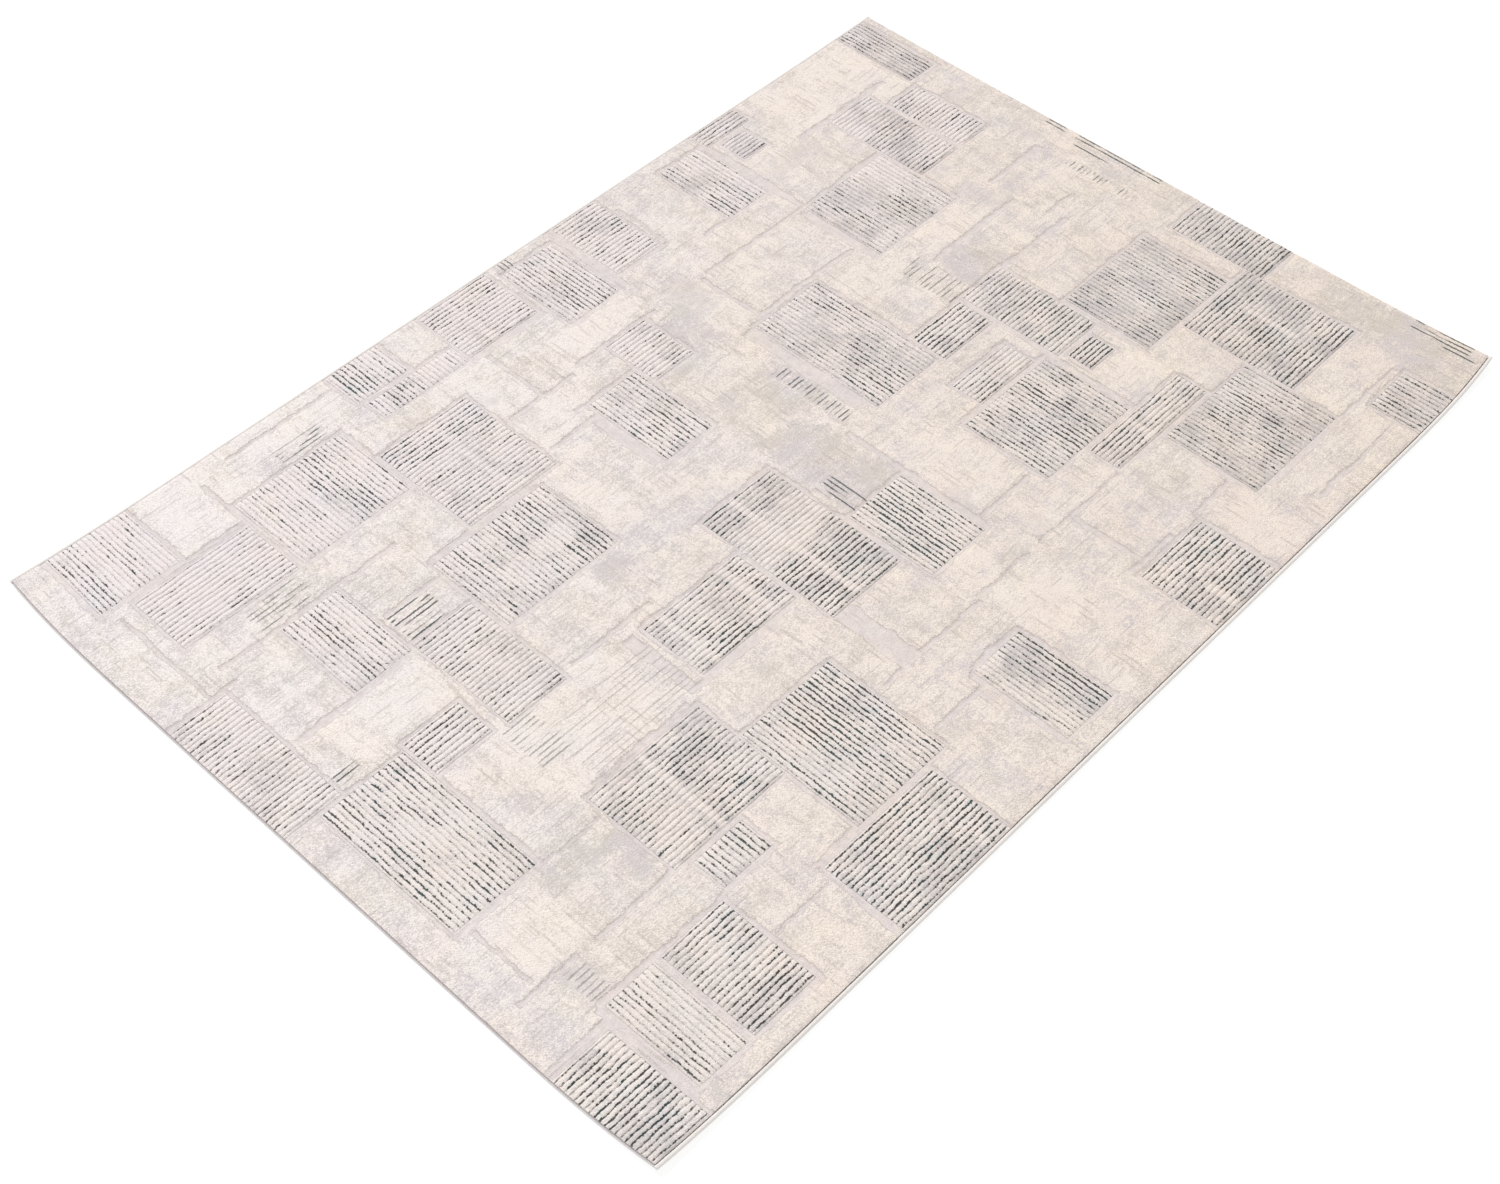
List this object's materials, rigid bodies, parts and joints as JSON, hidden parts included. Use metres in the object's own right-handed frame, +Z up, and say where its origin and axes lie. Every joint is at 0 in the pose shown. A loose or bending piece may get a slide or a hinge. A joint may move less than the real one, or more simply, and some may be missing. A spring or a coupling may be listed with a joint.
{
  "type": "area rug",
  "caption": "Rectangular machine-woven rug with a high-low cut pile: a plain cream field, ribbed blocks let into it, bound long sides and hemmed short ends.",
  "frame": {"origin": "on the floor, under the middle of the rug", "axes": "+X across the rug towards its right side, +Y along it towards its far end, +Z up from the floor through the pile"},
  "size_m": [1.6, 2.27, 0.0105],
  "materials": {
    "latex": "matt pale latex size, rolled thinly on the underside so that the weave still shows through",
    "ground_weave": "plain woven natural-coloured warp and weft, matt",
    "sunken_pile_yarn": "short lavender-grey pile with a flat, woven look, matt",
    "plain_pile_yarn": "soft cream cut pile with beige and grey mottling, faint sheen",
    "ribbed_pile_yarn": "cream cut pile ribs with broken charcoal-green lines between them, matt",
    "filler_cord": "twisted matt filler cord, hidden inside the binding",
    "overcast_yarn": "tight whipped polyester yarn, off-white, low sheen",
    "hem_cloth": "folded woven strip, pale lavender-grey, matt",
    "hem_thread": "smooth pale polyester thread"
  },
  "bodies": {
    "root": {"latex_backcoat": "latex", "ground_cloth": "ground_weave", "low_pile": "sunken_pile_yarn", "plain_pile": "plain_pile_yarn", "ribbed_block_01": "ribbed_pile_yarn", "ribbed_block_02": "ribbed_pile_yarn", "ribbed_block_03": "ribbed_pile_yarn", "ribbed_block_04": "ribbed_pile_yarn", "ribbed_block_05": "ribbed_pile_yarn", "ribbed_block_06": "ribbed_pile_yarn", "ribbed_block_07": "ribbed_pile_yarn", "ribbed_block_08": "ribbed_pile_yarn", "ribbed_block_09": "ribbed_pile_yarn", "ribbed_block_10": "ribbed_pile_yarn", "ribbed_block_11": "ribbed_pile_yarn", "ribbed_block_12": "ribbed_pile_yarn", "ribbed_block_13": "ribbed_pile_yarn", "ribbed_block_14": "ribbed_pile_yarn", "ribbed_block_15": "ribbed_pile_yarn", "ribbed_block_16": "ribbed_pile_yarn", "ribbed_block_17": "ribbed_pile_yarn", "ribbed_block_18": "ribbed_pile_yarn", "ribbed_block_19": "ribbed_pile_yarn", "ribbed_block_20": "ribbed_pile_yarn", "ribbed_block_21": "ribbed_pile_yarn", "ribbed_block_22": "ribbed_pile_yarn", "ribbed_block_23": "ribbed_pile_yarn", "ribbed_block_24": "ribbed_pile_yarn", "ribbed_block_25": "ribbed_pile_yarn", "ribbed_block_26": "ribbed_pile_yarn", "ribbed_block_27": "ribbed_pile_yarn", "ribbed_block_28": "ribbed_pile_yarn", "ribbed_block_29": "ribbed_pile_yarn", "ribbed_block_30": "ribbed_pile_yarn", "ribbed_block_31": "ribbed_pile_yarn", "ribbed_block_32": "ribbed_pile_yarn", "ribbed_block_33": "ribbed_pile_yarn", "ribbed_block_34": "ribbed_pile_yarn", "ribbed_block_35": "ribbed_pile_yarn", "ribbed_block_36": "ribbed_pile_yarn", "ribbed_block_37": "ribbed_pile_yarn", "ribbed_block_38": "ribbed_pile_yarn", "ribbed_block_39": "ribbed_pile_yarn", "ribbed_block_40": "ribbed_pile_yarn", "ribbed_block_41": "ribbed_pile_yarn", "ribbed_block_42": "ribbed_pile_yarn", "ribbed_block_43": "ribbed_pile_yarn", "ribbed_block_44": "ribbed_pile_yarn", "ribbed_block_45": "ribbed_pile_yarn", "ribbed_block_46": "ribbed_pile_yarn", "ribbed_block_47": "ribbed_pile_yarn", "ribbed_block_48": "ribbed_pile_yarn", "left_edge_cord": "filler_cord", "right_edge_cord": "filler_cord", "left_edge_overcast": "overcast_yarn", "right_edge_overcast": "overcast_yarn", "near_end_hem": "hem_cloth", "far_end_hem": "hem_cloth", "near_hem_stitch": "hem_thread", "far_hem_stitch": "hem_thread"}
  },
  "joints": []
}
